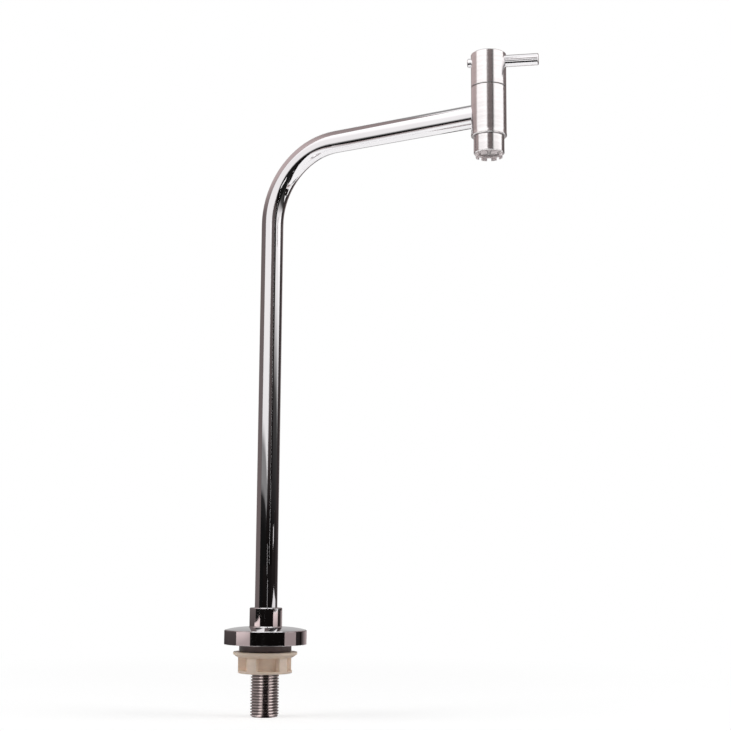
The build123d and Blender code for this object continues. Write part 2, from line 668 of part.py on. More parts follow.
NODES = {
    "base_flange": make_base_flange,
    "deck_gasket": make_deck_gasket,
    "threaded_shank": make_threaded_shank,
    "swivel_bush": make_swivel_bush,
    "thrust_washer": make_thrust_washer,
    "back_nut": make_back_nut,
    "swivel_spigot": make_swivel_spigot,
    "lower_spigot_ring": lambda: o_ring(SPIGOT_R, LOWER_RING_Z),
    "upper_spigot_ring": lambda: o_ring(SPIGOT_R, UPPER_RING_Z),
    "retaining_ring": make_retaining_ring,
    "spout_tube": make_spout_tube,
    "head_body": make_head_body,
    "valve_cage": make_valve_cage,
    "cage_ring": lambda: HEAD_AXIS * o_ring(CAGE_R, CAGE_RING_Z),
    "seat_seal": make_seat_seal,
    "fixed_disc": make_fixed_disc,
    "moving_disc": make_moving_disc,
    "spindle": make_spindle,
    "spindle_ring": lambda: HEAD_AXIS * o_ring(SPINDLE_R, SPINDLE_RING_Z),
    "stop_washer": make_stop_washer,
    "spindle_clip": make_spindle_clip,
    "handle": make_handle,
    "lever_pin": make_lever_pin,
    "rear_plug": make_rear_plug,
    "outlet_sleeve": make_outlet_sleeve,
    "sleeve_washer": make_sleeve_washer,
    "aerator_insert": make_aerator_insert,
    "outlet_screen": make_outlet_screen,
    "flow_disc": make_flow_disc,
    "inlet_screen": make_inlet_screen,
    "aerator_washer": make_aerator_washer,
}


def main():
    """Build every piece and write it to its own file."""
    os.makedirs("parts", exist_ok=True)
    for name, make in NODES.items():
        export_step(make(), f"parts/{name}.step")


main()
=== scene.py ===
"""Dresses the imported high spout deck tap: thread, nut, wire screen, finishes and studio stage."""

import math
from contextlib import contextmanager

import bmesh
import bpy
from bpy.props import FloatProperty, FloatVectorProperty, IntProperty, PointerProperty
from mathutils import Matrix, Vector


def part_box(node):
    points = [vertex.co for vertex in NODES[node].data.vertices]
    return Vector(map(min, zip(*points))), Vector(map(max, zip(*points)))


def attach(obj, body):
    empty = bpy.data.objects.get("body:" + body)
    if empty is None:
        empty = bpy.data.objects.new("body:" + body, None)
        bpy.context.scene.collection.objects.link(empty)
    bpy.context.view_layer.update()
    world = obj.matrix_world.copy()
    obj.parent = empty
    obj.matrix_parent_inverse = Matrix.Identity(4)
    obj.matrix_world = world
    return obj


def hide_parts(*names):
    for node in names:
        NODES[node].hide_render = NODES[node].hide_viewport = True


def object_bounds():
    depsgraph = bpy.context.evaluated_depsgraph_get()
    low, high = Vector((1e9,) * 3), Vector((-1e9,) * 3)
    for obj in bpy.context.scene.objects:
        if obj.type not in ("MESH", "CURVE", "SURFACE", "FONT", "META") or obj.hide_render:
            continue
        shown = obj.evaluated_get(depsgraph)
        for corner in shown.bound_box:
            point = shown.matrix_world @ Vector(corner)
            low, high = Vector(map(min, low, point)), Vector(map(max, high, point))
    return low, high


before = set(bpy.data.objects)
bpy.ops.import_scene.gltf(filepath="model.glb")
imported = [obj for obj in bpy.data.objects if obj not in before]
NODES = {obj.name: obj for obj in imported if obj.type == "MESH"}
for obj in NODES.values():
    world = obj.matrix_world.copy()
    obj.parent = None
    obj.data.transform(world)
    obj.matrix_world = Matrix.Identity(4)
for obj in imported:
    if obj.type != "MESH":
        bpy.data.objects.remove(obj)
CAD_LOW, CAD_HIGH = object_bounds()

bl_info = {
    "name": "High Spout Deck Tap",
    "version": (1, 0, 0),
    "blender": (4, 5, 0),
    "location": "3D View > Sidebar > Deck Tap",
    "description": "Adds the thread, the wire screen, the finishes and the studio stage to the deck tap",
    "category": "Object",
}

MM = 0.001
HEAD_AXIS = (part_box("head_body")[0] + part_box("head_body")[1]) / 2
SHANK_LOW, SHANK_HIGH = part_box("threaded_shank")
CREST = (SHANK_HIGH.x - SHANK_LOW.x) / 2
SCREEN_LOW, SCREEN_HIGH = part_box("outlet_screen")

POLISHED = ("spout_tube", "base_flange", "lever_pin", "rear_plug")
SATIN = ("head_body", "handle", "outlet_sleeve")
RUBBER = (
    "deck_gasket",
    "lower_spigot_ring",
    "upper_spigot_ring",
    "cage_ring",
    "seat_seal",
    "sleeve_washer",
    "aerator_washer",
    "spindle_ring",
)
BRASS = ("swivel_spigot", "valve_cage", "spindle")
WHITE_PLASTIC = ("swivel_bush", "thrust_washer", "flow_disc")
GREY_PLASTIC = ("aerator_insert",)
CERAMIC = ("fixed_disc", "moving_disc")
STEEL = ("retaining_ring", "stop_washer", "spindle_clip", "inlet_screen")


# Properties


class TapSizes(bpy.types.PropertyGroup):
    """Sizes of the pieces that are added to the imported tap."""

    thread_pitch: FloatProperty(
        name="Thread Pitch",
        description="Rise of the shank's thread in one turn",
        default=2.0 * MM,
        precision=4,
        unit="LENGTH",
    )
    thread_depth: FloatProperty(
        name="Thread Depth",
        description="Depth of the thread from crest to root",
        default=1.1 * MM,
        precision=4,
        unit="LENGTH",
    )
    thread_chamfer: FloatProperty(
        name="End Chamfer",
        description="Width of the chamfer at the shank's open end",
        default=1.1 * MM,
        precision=4,
        unit="LENGTH",
    )
    thread_steps: IntProperty(
        name="Steps a Turn",
        description="Straight steps in one turn of the thread",
        default=72,
        min=24,
        max=128,
    )
    bore_radius: FloatProperty(
        name="Bore Radius",
        description="Radius of the supply bore through the shank",
        default=5.5 * MM,
        precision=4,
        unit="LENGTH",
    )
    nut_edge: FloatProperty(
        name="Nut Edge Radius",
        description="Rounding of the moulded nut's edges",
        default=0.4 * MM,
        precision=4,
        unit="LENGTH",
    )
    wire_radius: FloatProperty(
        name="Wire Radius",
        description="Radius of one wire of the outlet screen",
        default=0.11 * MM,
        precision=5,
        unit="LENGTH",
    )
    wire_spacing: FloatProperty(
        name="Wire Spacing",
        description="Distance from wire to wire in the outlet screen",
        default=0.8 * MM,
        precision=5,
        unit="LENGTH",
    )


class TapColours(bpy.types.PropertyGroup):
    """Colours of the finishes."""

    chrome: FloatVectorProperty(
        name="Polished Chrome",
        description="Tint of the polished plate",
        default=(0.90, 0.885, 0.90),
        subtype="COLOR",
        min=0,
        max=1,
    )
    satin: FloatVectorProperty(
        name="Satin Chrome",
        description="Tint of the finely turned plate on the head",
        default=(0.90, 0.87, 0.87),
        subtype="COLOR",
        min=0,
        max=1,
    )
    stud: FloatVectorProperty(
        name="Plated Thread",
        description="Tint of the dull plate on the shank",
        default=(0.70, 0.63, 0.62),
        subtype="COLOR",
        min=0,
        max=1,
    )
    nut: FloatVectorProperty(
        name="Cream Plastic",
        description="Colour of the moulded nut",
        default=(0.88, 0.72, 0.59),
        subtype="COLOR",
        min=0,
        max=1,
    )
    rubber: FloatVectorProperty(
        name="Black Rubber",
        description="Colour of the gasket and the rings",
        default=(0.08, 0.055, 0.052),
        subtype="COLOR",
        min=0,
        max=1,
    )
    grey: FloatVectorProperty(
        name="Grey Plastic",
        description="Colour of the aerator's insert",
        default=(0.92, 0.83, 0.83),
        subtype="COLOR",
        min=0,
        max=1,
    )
    white: FloatVectorProperty(
        name="White Plastic",
        description="Colour of the bush, the washer and the flow disc",
        default=(0.82, 0.82, 0.79),
        subtype="COLOR",
        min=0,
        max=1,
    )
    brass: FloatVectorProperty(
        name="Brass",
        description="Colour of the bare turned brass",
        default=(0.78, 0.60, 0.30),
        subtype="COLOR",
        min=0,
        max=1,
    )
    ceramic: FloatVectorProperty(
        name="Ceramic",
        description="Colour of the lapped discs",
        default=(0.86, 0.84, 0.80),
        subtype="COLOR",
        min=0,
        max=1,
    )
    steel: FloatVectorProperty(
        name="Spring Steel",
        description="Colour of the wire, the rings and the clips",
        default=(0.78, 0.75, 0.75),
        subtype="COLOR",
        min=0,
        max=1,
    )


class TapStage(bpy.types.PropertyGroup):
    """Camera and studio."""

    camera_place: FloatVectorProperty(
        name="Camera Place",
        description="Where the camera stands",
        default=(0.56827, -0.79990, 0.06027),
        subtype="TRANSLATION",
        unit="LENGTH",
    )
    camera_azimuth: FloatProperty(
        name="Camera Azimuth",
        description="Turn of the view to the left of straight ahead",
        default=math.radians(31.33),
        subtype="ANGLE",
        unit="ROTATION",
    )
    camera_pitch: FloatProperty(
        name="Camera Pitch",
        description="Upward tilt of the view",
        default=math.radians(8.40),
        subtype="ANGLE",
        unit="ROTATION",
    )
    camera_roll: FloatProperty(
        name="Camera Roll",
        description="Turn of the frame about the view",
        default=math.radians(0.39),
        subtype="ANGLE",
        unit="ROTATION",
    )
    camera_lens: FloatProperty(
        name="Lens",
        description="Focal length on a 36 mm sensor",
        default=66.81,
        subtype="DISTANCE_CAMERA",
    )
    floor_radius: FloatProperty(
        name="Floor Radius",
        description="Radius of the pale floor",
        default=2.2,
        unit="LENGTH",
    )
    lamp_power: FloatProperty(
        name="Lamp Power",
        description="Power of each soft lamp",
        default=7.0,
        subtype="POWER",
        unit="POWER",
    )
    sky_level: FloatProperty(
        name="Sky Level",
        description="Brightness of the even light from all sides",
        default=0.34,
        subtype="FACTOR",
    )


# Fineness of the made pieces
MERGE, WELD, LEVEL = 0.01 * MM, 0.001 * MM, 0.001 * MM
FLAT_ANGLE, CREASE_ANGLE = math.radians(0.5), math.radians(35)
PROFILE_STEPS, ROOT_STEPS, FLANK_STEPS, SPARE_TURNS = 16, 2, 4, 2
BLANK_SIDES, DRILL_SIDES, WIRE_SIDES = 96, 64, 6
HEM_STEPS, HEM_SIDES = 72, 10
BAND_SIDES, FLOOR_SIDES = 96, 128

# Mesh helpers


def only_nothing():
    """Leaves object mode with nothing selected."""
    if bpy.context.object and bpy.context.object.mode != "OBJECT":
        bpy.ops.object.mode_set(mode="OBJECT")
    bpy.ops.object.select_all(action="DESELECT")


def only(piece):
    """Leaves piece selected and active, and nothing else."""
    only_nothing()
    piece.select_set(True)
    bpy.context.view_layer.objects.active = piece


@contextmanager
def editing(piece):
    """Edit mode on the piece, with all of its mesh selected."""
    only(piece)
    bpy.ops.object.mode_set(mode="EDIT")
    bpy.ops.mesh.select_all(action="SELECT")
    yield
    bpy.ops.object.mode_set(mode="OBJECT")


def fresh(name):
    """Names the primitive that was just added."""
    piece = bpy.context.object
    piece.name = name
    piece.data.name = name
    return piece


def settle(piece):
    """Puts the piece's place, turn and scale into its mesh."""
    only(piece)
    bpy.ops.object.transform_apply(location=True, rotation=True, scale=True)
    return piece


def cylinder(name, sides, radius, low, high, ends="NGON"):
    """An upright cylinder on the column's axis, from low to high."""
    only_nothing()
    bpy.ops.mesh.primitive_cylinder_add(
        vertices=sides,
        radius=radius,
        depth=high - low,
        end_fill_type=ends,
        location=(0, 0, (low + high) / 2),
    )
    return settle(fresh(name))


def copy_of(piece, name):
    """A copy with a mesh of its own."""
    twin = piece.copy()
    twin.data = piece.data.copy()
    twin.name = name
    twin.data.name = name
    bpy.context.collection.objects.link(twin)
    return twin


def pick(piece, test, kind="VERT"):
    """In edit mode, selects only the vertices or edges that pass the test."""
    bpy.ops.mesh.select_mode(type=kind)
    bpy.ops.mesh.select_all(action="DESELECT")
    mesh = bmesh.from_edit_mesh(piece.data)
    for part in {"VERT": mesh.verts, "EDGE": mesh.edges}[kind]:
        part.select = test(part)
    mesh.select_flush_mode()
    bmesh.update_edit_mesh(piece.data)


def apply(piece, kind, **settings):
    """Gives the piece a modifier with its settings and applies it."""
    only(piece)
    step = piece.modifiers.new(kind.lower(), kind)
    for name, value in settings.items():
        setattr(step, name, value)
    bpy.ops.object.modifier_apply(modifier=step.name)


def cut_with(piece, tool, how):
    """Applies a boolean with tool, then removes tool."""
    apply(piece, "BOOLEAN", operation=how, solver="EXACT", object=tool)
    bpy.data.objects.remove(tool)
    if not piece.data.polygons:
        raise RuntimeError(f"the cut left nothing of {piece.name}")


def join_all(parts, name):
    """Joins the parts into the first of them."""
    only(parts[0])
    for part in parts[1:]:
        part.select_set(True)
    bpy.ops.object.join()
    return fresh(name)


def smooth(piece, degrees):
    """Shades smooth across edges flatter than the angle."""
    only(piece)
    bpy.ops.object.shade_smooth_by_angle(angle=math.radians(degrees))


def dress(piece, material):
    """Gives the piece one material."""
    piece.data.materials.clear()
    piece.data.materials.append(material)


# Pieces


def wound_thread(sizes):
    """The thread wound up the shank, cut square and closed at both ends."""
    pitch, depth = sizes.thread_pitch, sizes.thread_depth
    start = (0, 0, SHANK_LOW.z - SPARE_TURNS * pitch)

    # One rise of the thread: a narrow strip from root over crest to root.
    only_nothing()
    bpy.ops.mesh.primitive_plane_add(size=pitch, location=start)
    thread = fresh("shank_thread")
    with editing(thread):
        bpy.ops.mesh.delete(type="ONLY_FACE")
        pick(thread, lambda v: v.co.y > 0)
        bpy.ops.mesh.delete(type="VERT")
        bpy.ops.mesh.select_all(action="SELECT")
        bpy.ops.transform.rotate(value=math.radians(90), orient_axis="Y", center_override=start)
        bpy.ops.mesh.subdivide(number_cuts=PROFILE_STEPS - 1)
        mesh = bmesh.from_edit_mesh(thread.data)
        low = min(v.co.z for v in mesh.verts)
        for v in mesh.verts:
            along = round((v.co.z - low) / (pitch / PROFILE_STEPS))
            rise = (min(along, PROFILE_STEPS - along) - ROOT_STEPS) / FLANK_STEPS
            rise = min(1, max(0, rise))
            v.co.y = 0
            v.co.x = CREST - depth + depth * rise * rise * (3 - 2 * rise)
        bmesh.update_edit_mesh(thread.data)
    settle(thread)
    apply(
        thread,
        "SCREW",
        axis="Z",
        screw_offset=pitch,
        iterations=math.ceil((SHANK_HIGH.z - SHANK_LOW.z) / pitch) + 2 * SPARE_TURNS,
        steps=sizes.thread_steps,
        render_steps=sizes.thread_steps,
        use_merge_vertices=True,
        merge_threshold=MERGE,
    )

    with editing(thread):
        bpy.ops.mesh.remove_doubles(threshold=MERGE)
        for height, up in ((SHANK_LOW.z, -1), (SHANK_HIGH.z, 1)):
            bpy.ops.mesh.select_all(action="SELECT")
            bpy.ops.mesh.bisect(
                plane_co=(0, 0, height),
                plane_no=(0, 0, up),
                use_fill=True,
                clear_outer=True,
                threshold=WELD,
            )
        bpy.ops.mesh.select_all(action="SELECT")
        bpy.ops.mesh.normals_make_consistent(inside=False)
    return thread


class TAP_OT_shank_thread(bpy.types.Operator):
    """Cuts the shank with its real right-hand thread, chamfer and bore"""

    bl_idname = "tap.shank_thread"
    bl_label = "Shank Thread"

    def execute(self, context):
        sizes = context.scene.tap_sizes
        pitch, chamfer, bore = sizes.thread_pitch, sizes.thread_chamfer, sizes.bore_radius
        thread = wound_thread(sizes)

        # The turned blank gives the crest its end chamfers.
        corner = CREST / math.cos(math.pi / BLANK_SIDES)
        blank = cylinder("blank", BLANK_SIDES, corner, SHANK_LOW.z, SHANK_HIGH.z)
        with editing(blank):
            pick(blank, lambda e: abs(e.verts[0].co.z - e.verts[1].co.z) < LEVEL, "EDGE")
            bpy.ops.mesh.bevel(offset=chamfer, segments=1, affect="EDGES")
        cut_with(thread, blank, "INTERSECT")

        # The bore, with its own small chamfer at the open end.
        drill = cylinder("drill", DRILL_SIDES, bore, SHANK_LOW.z - pitch, SHANK_HIGH.z + pitch)
        wider = 1 + (chamfer / 2 + pitch) / bore
        with editing(drill):
            bpy.ops.mesh.bisect(plane_co=(0, 0, SHANK_LOW.z + chamfer / 2), plane_no=(0, 0, 1))
            pick(drill, lambda v: v.co.z < SHANK_LOW.z)
            bpy.ops.transform.resize(
                value=(wider, wider, 1), center_override=(0, 0, SHANK_LOW.z)
            )
        cut_with(thread, drill, "DIFFERENCE")
        smooth(thread, 35)
        dress(thread, plated_thread())
        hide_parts("threaded_shank")
        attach(thread, "base")
        return {"FINISHED"}


class TAP_OT_back_nut(bpy.types.Operator):
    """Makes the moulded back nut with softened edges"""

    bl_idname = "tap.back_nut"
    bl_label = "Back Nut"

    def execute(self, context):
        nut = copy_of(NODES["back_nut"], "moulded_nut")
        for key in list(nut.keys()):
            del nut[key]
        nut.parent = None
        with editing(nut):
            bpy.ops.mesh.remove_doubles(threshold=WELD)
            bpy.ops.mesh.customdata_custom_splitnormals_clear()
            bpy.ops.mesh.dissolve_limited(angle_limit=FLAT_ANGLE)
        apply(
            nut,
            "BEVEL",
            width=context.scene.tap_sizes.nut_edge,
            segments=3,
            limit_method="ANGLE",
            angle_limit=CREASE_ANGLE,
            harden_normals=False,
            miter_outer="MITER_ARC",
        )
        smooth(nut, 40)
        dress(nut, cream_plastic())
        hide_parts("back_nut")
        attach(nut, "nut")
        return {"FINISHED"}


def at_crossing(steps, phase, slack=0.05):
    """Whether a place along a wire, in spacings, is at an even (0) or odd (1) crossing."""
    return abs(steps - round(steps)) < slack and round(steps) % 2 == phase


def bent_wire(sizes, count, swing):
    """One wire along X, bent over and under at every crossing."""
    spacing = sizes.wire_spacing
    end = spacing * (count + 1)
    pattern = cylinder("wire", WIRE_SIDES, sizes.wire_radius, -end, end, ends="NOTHING")
    pattern.rotation_euler = (0, math.radians(90), 0)
    settle(pattern)
    with editing(pattern):
        pick(pattern, lambda e: abs(e.verts[0].co.x - e.verts[1].co.x) > spacing, "EDGE")
        bpy.ops.mesh.subdivide(number_cuts=4 * (count + 1) - 1)
        for phase, shift in ((0, swing), (1, -swing)):
            pick(pattern, lambda v: at_crossing(v.co.x / spacing, phase))
            bpy.ops.transform.translate(value=(0, 0, shift))
    return pattern


class TAP_OT_outlet_screen(bpy.types.Operator):
    """Weaves the outlet's wire screen inside its hem ring"""

    bl_idname = "tap.outlet_screen"
    bl_label = "Outlet Screen"

    def execute(self, context):
        sizes = context.scene.tap_sizes
        wire, spacing = sizes.wire_radius, sizes.wire_spacing
        centre = (SCREEN_LOW + SCREEN_HIGH) / 2
        reach = (SCREEN_HIGH.x - SCREEN_LOW.x) / 2
        hem = (SCREEN_HIGH.z - SCREEN_LOW.z) / 2
        count = int(reach / spacing)
        pattern = bent_wire(sizes, count, hem - wire)
        wires = []
        for across in (False, True):
            for row in range(-count, count + 1):
                offset = row * spacing
                run = math.sqrt(max(0, (reach - wire) ** 2 - offset**2))
                if run < spacing:
                    continue
                twin = copy_of(pattern, f"wire_{len(wires)}")
                with editing(twin):
                    for side in (-1, 1):
                        bpy.ops.mesh.select_all(action="SELECT")
                        bpy.ops.mesh.bisect(
                            plane_co=(side * run, 0, 0),
                            plane_no=(side, 0, 0),
                            use_fill=True,
                            clear_outer=True,
                        )
                # Neighbouring wires, and those across them, go over and under in turn.
                flipped = (row % 2 == 0) == across
                twin.matrix_world = (
                    Matrix.Translation(centre)
                    @ Matrix.Rotation(math.radians(90 if across else 0), 4, "Z")
                    @ Matrix.Translation((0, offset, 0))
                    @ Matrix.Rotation(math.pi if flipped else 0, 4, "X")
                )
                wires.append(settle(twin))
        bpy.data.objects.remove(pattern)
        only_nothing()
        bpy.ops.mesh.primitive_torus_add(
            location=centre,
            major_radius=reach - hem,
            minor_radius=hem,
            major_segments=HEM_STEPS,
            minor_segments=HEM_SIDES,
        )
        wires.append(settle(fresh("hem")))
        screen = join_all(wires, "woven_screen")
        smooth(screen, 50)
        dress(screen, spring_steel())
        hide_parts("outlet_screen")
        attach(screen, "spout")
        return {"FINISHED"}


# Finishes


class Nodes:
    """A node tree, with the calls that the finishes and the stage share."""

    def __init__(self, owner, end="ShaderNodeOutputMaterial"):
        owner.use_nodes = True
        self.owner = owner
        self.tree = owner.node_tree
        self.tree.nodes.clear()
        self.end = self.add(end).inputs["Surface"]

    def add(self, kind, **settings):
        """A new node with its settings."""
        node = self.tree.nodes.new(kind)
        for name, value in settings.items():
            setattr(node, name, value)
        return node

    def join(self, source, target):
        """Links an output to an input."""
        self.tree.links.new(source, target)

    def feed(self, socket, value):
        """Puts a number, a colour or another node's output into the socket."""
        if hasattr(value, "is_output"):
            self.join(value, socket)
        else:
            socket.default_value = value

    def fill(self, node, *values):
        """Feeds the values to the node's first sockets, in order."""
        for socket, value in zip(node.inputs, values, strict=False):
            self.feed(socket, value)
        return node

    def place(self):
        """Object coordinates."""
        node = self.tree.nodes.get("Texture Coordinate") or self.add("ShaderNodeTexCoord")
        return node.outputs["Object"]

    def mapped(self, centre=(0, 0, 0), scale=(1, 1, 1), turn=(0, 0, 0)):
        """Object coordinates measured from centre, stretched and turned."""
        node = self.add("ShaderNodeMapping", vector_type="POINT")
        node.inputs["Location"].default_value = [-c * s for c, s in zip(centre, scale)]
        node.inputs["Rotation"].default_value = turn
        node.inputs["Scale"].default_value = scale
        self.join(self.place(), node.inputs["Vector"])
        return node.outputs["Vector"]

    def spread(self, value, low, high, to_low, to_high, shape="LINEAR"):
        """Maps low…high to to_low…to_high, held at both ends."""
        node = self.add("ShaderNodeMapRange", clamp=True, interpolation_type=shape)
        return self.fill(node, value, low, high, to_low, to_high).outputs["Result"]

    def calc(self, how, *values):
        """A number worked out from numbers."""
        node = self.add("ShaderNodeMath", operation=how)
        return self.fill(node, *values).outputs["Value"]

    def measure(self, how, *vectors):
        """A number worked out from vectors."""
        node = self.add("ShaderNodeVectorMath", operation=how)
        return self.fill(node, *vectors).outputs["Value"]

    def mix(self, share, first, second):
        """A shader between first and second."""
        return self.fill(self.add("ShaderNodeMixShader"), share, first, second).outputs[0]

    def seen_share(self):
        """1 for rays from the camera, a reflection or clear stuff, 0 for soft light."""
        path = self.add("ShaderNodeLightPath").outputs
        most = path["Is Camera Ray"]
        for name in ("Is Glossy Ray", "Is Transmission Ray"):
            most = self.calc("MAXIMUM", most, path[name])
        return most


class Finish(Nodes):
    """The material of one of the tap's finishes."""

    def __init__(self, name, tint):
        super().__init__(bpy.data.materials.new(name))
        self.tint = tint
        self.shader = self.add("ShaderNodeBsdfPrincipled")
        self.join(self.shader.outputs["BSDF"], self.end)

    def set(self, **sockets):
        """Sets the shader's sockets by name, with _ for a space."""
        for name, value in sockets.items():
            self.feed(self.shader.inputs[name.replace("_", " ")], value)

    def noise(self, where, scale, detail, roughness):
        """Noise with that many lumps a metre where the coordinates aren't stretched."""
        node = self.add("ShaderNodeTexNoise")
        self.join(where, node.inputs["Vector"])
        node.inputs["Scale"].default_value = scale
        node.inputs["Detail"].default_value = detail
        node.inputs["Roughness"].default_value = roughness
        return node.outputs["Fac"]

    def plus(self, first, second, share=1.0):
        """First plus a share of second."""
        return self.calc("MULTIPLY_ADD", second, share, first)

    def blend(self, share, first, second):
        """A colour between first and second."""
        node = self.add("ShaderNodeMix", data_type="RGBA")
        self.feed(node.inputs["Factor"], share)
        colours = [s for s in node.inputs if s.type == "RGBA"]
        self.feed(colours[0], first)
        self.feed(colours[1], second)
        return next(s for s in node.outputs if s.type == "RGBA")

    def tone(self, factor):
        """The finish's tint, made lighter or darker."""
        return [min(1.0, c * factor) for c in self.tint] + [1.0]

    def mottle(self, pattern, low, high, dark, light):
        """The tint from dark to light, as the pattern goes from low to high."""
        share = self.spread(pattern, low, high, 0, 1)
        return self.blend(share, self.tone(dark), self.tone(light))

    def edges(self, width):
        """0 on open faces, rising to 1 on the edges, and the rounded normal."""
        bevel = self.add("ShaderNodeBevel", samples=4)
        bevel.inputs["Radius"].default_value = width
        rounded = bevel.outputs["Normal"]
        plain = self.add("ShaderNodeNewGeometry").outputs["Normal"]
        return self.spread(self.measure("DOT_PRODUCT", rounded, plain), 0.99, 0.80, 0, 1), rounded

    def rub(self, base, edge_mask, share, factor):
        """The base, made lighter on the edges as a painted highlight where factor is over 1, and darker
        as a painted shade where it is under 1.
        """
        return self.blend(self.calc("MULTIPLY", edge_mask, share), base, self.tone(factor))

    def bump(self, height, distance, normal=None):
        """A normal raised by height, on top of another normal where there is one."""
        node = self.add("ShaderNodeBump")
        node.inputs["Distance"].default_value = distance
        self.join(height, node.inputs["Height"])
        if normal is not None:
            self.join(normal, node.inputs["Normal"])
        return node.outputs["Normal"]


def finish(tint):
    """Turns a function into a finish of that tint, which is made on its first use."""

    def wrap(make):
        name = f"tap_{make.__name__}"

        def known():
            if name not in bpy.data.materials:
                make(Finish(name, getattr(bpy.context.scene.tap_colours, tint)))
            return bpy.data.materials[name]

        return known

    return wrap


@finish("chrome")
def polished_chrome(f):
    """Bright plate with a thin film and a faint ripple along the tube."""
    film = f.noise(f.mapped(scale=(1, 1, 0.35)), 26, 3, 0.55)
    specks = f.noise(f.mapped(), 900, 3, 0.6)
    ripple = f.noise(f.mapped(scale=(1, 1, 0.3)), 70, 1, 0.4)
    edge_mask, rounded = f.edges(0.35 * MM)
    gloss = f.spread(f.plus(film, specks, 0.2), 0.42, 0.78, 0.022, 0.05)
    f.set(
        # Painted shade: the tint is darkened to 0.8 of itself along the edges.
        Base_Color=f.rub(f.mottle(film, 0.3, 0.7, 0.965, 1.02), edge_mask, 0.25, 0.8),
        Metallic=1.0,
        Roughness=f.plus(gloss, edge_mask, 0.06),
        Normal=f.bump(ripple, 0.012 * MM, rounded),
    )


@finish("satin")
def satin_chrome(f):
    """Plate over fine turned lines that run round the head's axis."""
    lines = f.noise(f.mapped(centre=HEAD_AXIS, scale=(6, 6, 900)), 2.2, 3, 0.6)
    broad = f.noise(f.mapped(centre=HEAD_AXIS, scale=(10, 10, 260)), 1.5, 2, 0.5)
    cloud = f.noise(f.mapped(), 60, 3, 0.55)
    edge_mask, rounded = f.edges(0.4 * MM)
    gloss = f.spread(f.plus(lines, cloud, 0.5), 0.5, 1.0, 0.13, 0.21)
    f.set(
        # Painted highlight: the tint is lightened by 1.08 along the edges.
        Base_Color=f.rub(f.mottle(broad, 0.3, 0.7, 0.93, 1.03), edge_mask, 0.2, 1.08),
        Metallic=1.0,
        Roughness=f.plus(gloss, edge_mask, 0.05),
        Normal=f.bump(lines, 0.004 * MM, rounded),
    )


@finish("stud")
def plated_thread(f):
    """Dull plate with painted shade in the thread's root."""
    cloud = f.noise(f.mapped(), 260, 4, 0.6)
    grain = f.noise(f.mapped(), 2600, 2, 0.5)
    radius = f.measure("LENGTH", f.mapped(scale=(1, 1, 0)))
    root = CREST - bpy.context.scene.tap_sizes.thread_depth
    # Painted shade: the tint drops to 0.4 of itself down in the thread's root.
    crest = f.spread(radius, root, CREST - 0.1 * MM, 0, 1)
    f.set(
        Base_Color=f.blend(crest, f.tone(0.4), f.mottle(cloud, 0.35, 0.65, 0.82, 1.1)),
        Metallic=1.0,
        Roughness=f.spread(f.plus(cloud, grain, 0.5), 0.5, 1.0, 0.14, 0.26),
        Normal=f.bump(grain, 0.01 * MM),
    )


@finish("nut")
def cream_plastic(f):
    """Moulded plastic with flow marks, a fine grain and a little light inside."""
    flow = f.noise(f.mapped(scale=(1, 1, 2.5)), 110, 3, 0.55)
    grain = f.noise(f.mapped(), 2400, 3, 0.6)
    edge_mask, rounded = f.edges(0.5 * MM)
    f.set(
        # Painted highlight: the tint is lightened by 1.14 along the moulded edges.
        Base_Color=f.rub(f.mottle(flow, 0.3, 0.7, 0.93, 1.05), edge_mask, 0.5, 1.14),
        Roughness=f.spread(f.plus(flow, grain), 0.7, 1.3, 0.36, 0.5),
        Normal=f.bump(grain, 0.02 * MM, rounded),
        Subsurface_Weight=0.12,
        Subsurface_Radius=(1.0, 0.7, 0.4),
        Subsurface_Scale=0.8 * MM,
        Specular_IOR_Level=0.45,
    )


@finish("rubber")
def black_rubber(f):
    """Black rubber with a pale bloom, and a painted highlight that makes its edges paler."""
    bloom = f.noise(f.mapped(), 170, 4, 0.6)
    grain = f.noise(f.mapped(), 1800, 3, 0.6)
    edge_mask, rounded = f.edges(0.3 * MM)
    f.set(
        # Painted highlight: the tint is lightened by 2.2 along the edges.
        Base_Color=f.rub(f.mottle(bloom, 0.35, 0.7, 0.75, 1.5), edge_mask, 0.6, 2.2),
        Roughness=f.spread(f.plus(bloom, grain), 0.7, 1.3, 0.34, 0.52),
        Normal=f.bump(grain, 0.03 * MM, rounded),
    )


@finish("grey")
def grey_plastic(f):
    """Moulded grey plastic of the aerator's insert."""
    flow = f.noise(f.mapped(), 240, 3, 0.55)
    grain = f.noise(f.mapped(), 2600, 3, 0.6)
    edge_mask, rounded = f.edges(0.25 * MM)
    f.set(
        # Painted highlight: the tint is lightened by 1.2 along the edges.
        Base_Color=f.rub(f.mottle(flow, 0.3, 0.7, 0.92, 1.06), edge_mask, 0.5, 1.2),
        Roughness=f.spread(f.plus(flow, grain), 0.7, 1.3, 0.28, 0.42),
        Normal=f.bump(grain, 0.015 * MM, rounded),
    )


@finish("white")
def white_plastic(f):
    """Turned white plastic of the inner bearings."""
    turned = f.noise(f.mapped(scale=(20, 20, 1600)), 1.4, 2, 0.5)
    cloud = f.noise(f.mapped(), 130, 3, 0.5)
    f.set(
        Base_Color=f.mottle(cloud, 0.3, 0.7, 0.94, 1.03),
        Roughness=f.spread(f.plus(turned, cloud), 0.7, 1.3, 0.32, 0.46),
        Normal=f.bump(turned, 0.01 * MM),
    )


